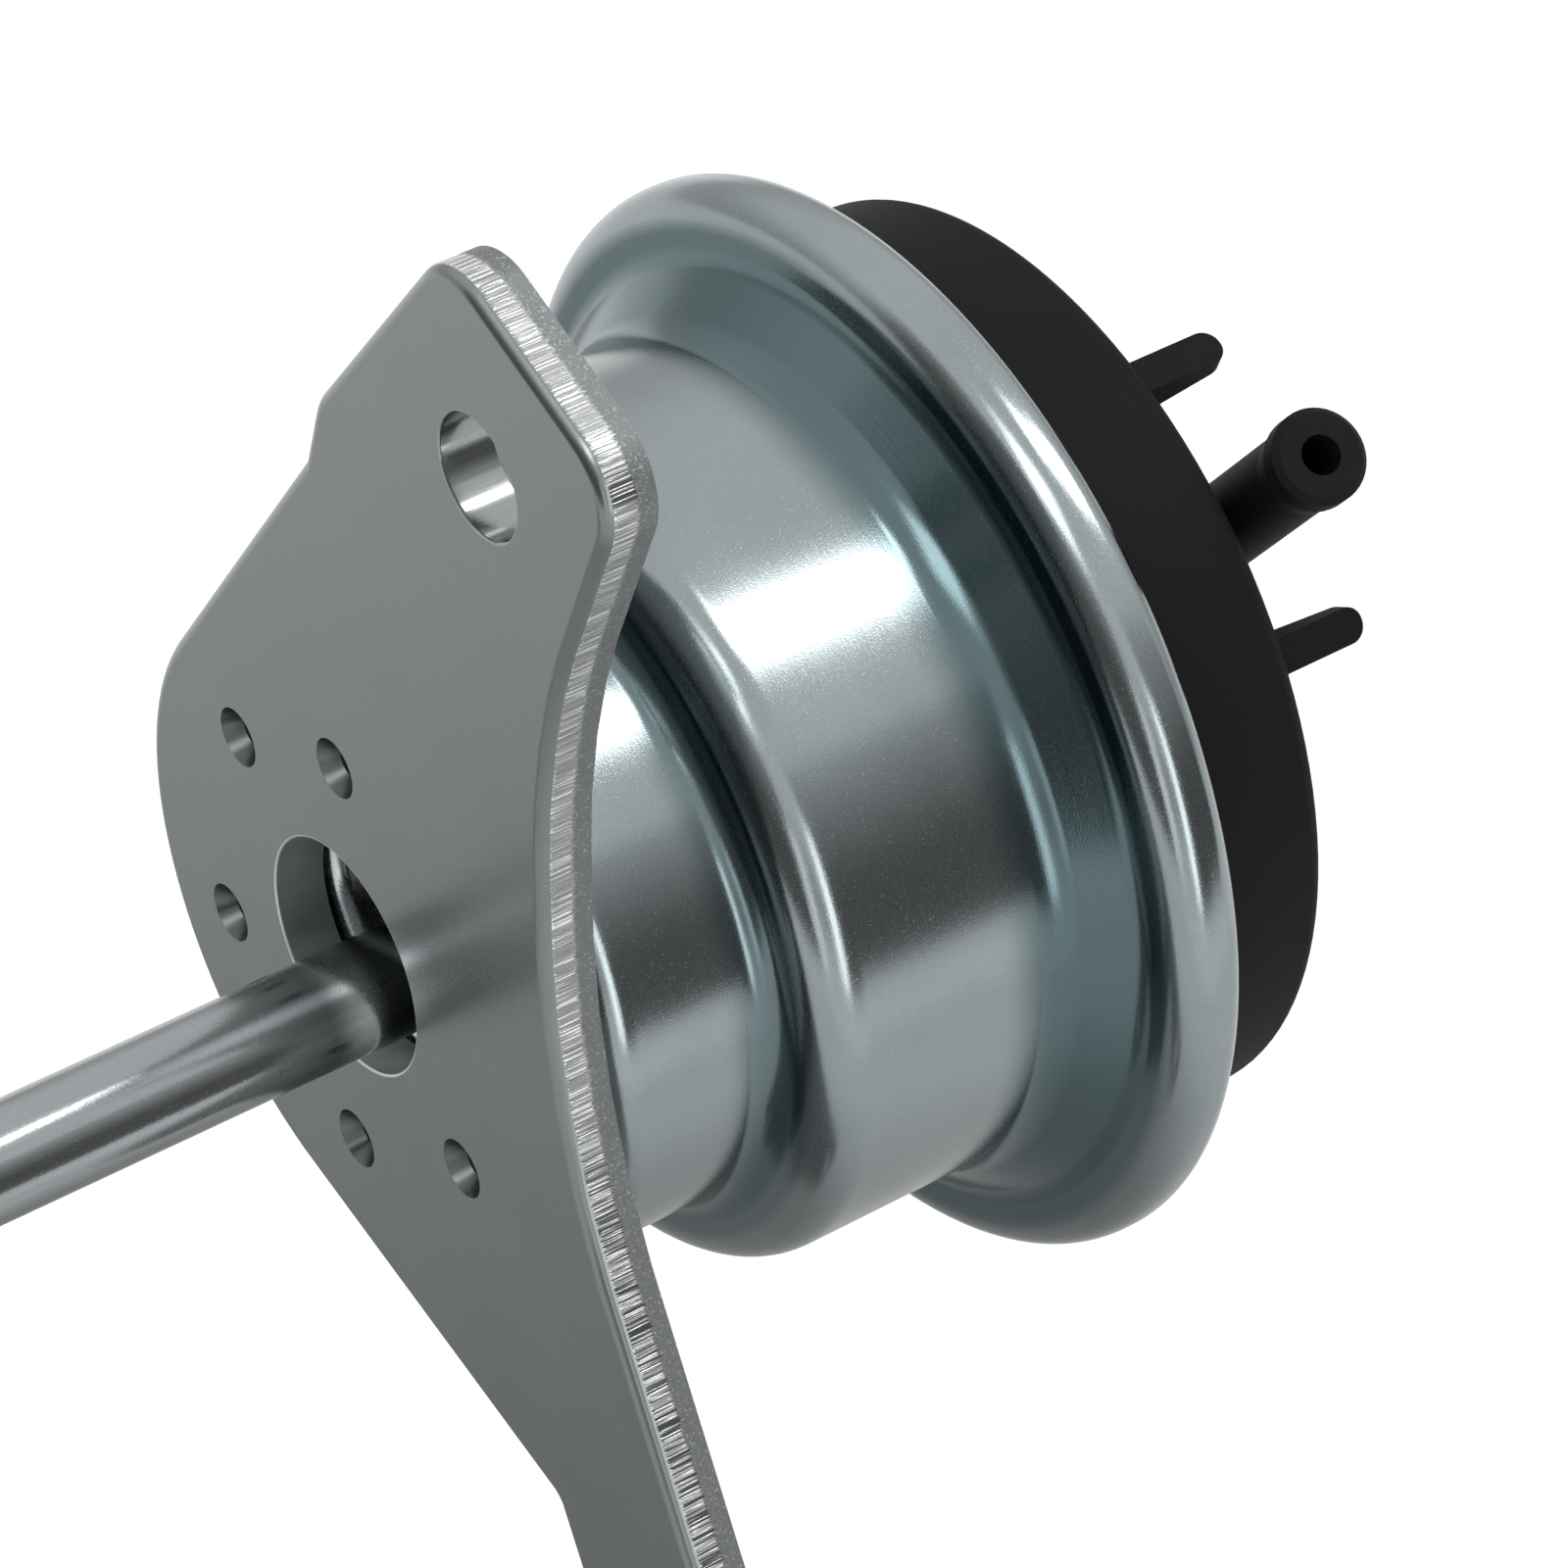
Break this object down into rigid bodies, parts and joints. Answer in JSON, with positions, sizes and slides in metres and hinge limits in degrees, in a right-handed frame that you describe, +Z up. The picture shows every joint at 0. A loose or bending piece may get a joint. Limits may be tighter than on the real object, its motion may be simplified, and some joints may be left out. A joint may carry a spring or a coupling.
{
  "type": "wastegate actuator",
  "caption": "Wastegate actuator: a plated can with a sprung diaphragm slides a bent rod out through a stamped bracket when pressure reaches its hose cap.",
  "frame": {"origin": "centre of the bracket's round rod hole, on the bracket's front face", "axes": "+X along the can's axis from the rod to the hose cap, +Z up towards the bracket's ear, +Y to the left as seen from the rod's side"},
  "size_m": [0.136, 0.0683, 0.0902],
  "materials": {
    "zinc_plate": "satin zinc plating with a faint blue green tint",
    "bright_steel": "drawn steel, bright zinc plated",
    "spring_steel": "oiled spring wire",
    "black_plastic": "matte black moulding",
    "rubber": "matte rubber",
    "pressed_aluminium": "plain pressed sheet",
    "bronze": "sintered bronze"
  },
  "bodies": {
    "housing": {"bracket": "zinc_plate", "can": "zinc_plate", "cap": "black_plastic", "guide_bush": "bronze", "rod_seal": "rubber", "seal_holder": "zinc_plate", "spring_seat": "zinc_plate", "return_spring": "spring_steel", "diaphragm": "rubber"},
    "rod_assembly": {"rod": "bright_steel", "rod_washer": "bright_steel", "piston": "pressed_aluminium", "backing_plate": "zinc_plate", "tenon_seal": "rubber", "rivet_washer": "bright_steel", "lock_nut": "zinc_plate", "rod_end": "zinc_plate", "eye_liner": "bronze"}
  },
  "joints": [
    {"name": "rod_slide", "type": "slide", "parent": "housing", "child": "rod_assembly", "axis": [-1, 0, 0], "range_m": [0, 0.01], "stiffness_N_per_m": 5000, "springref_m": -0.014, "deforming": ["return_spring", "diaphragm"]}
  ]
}
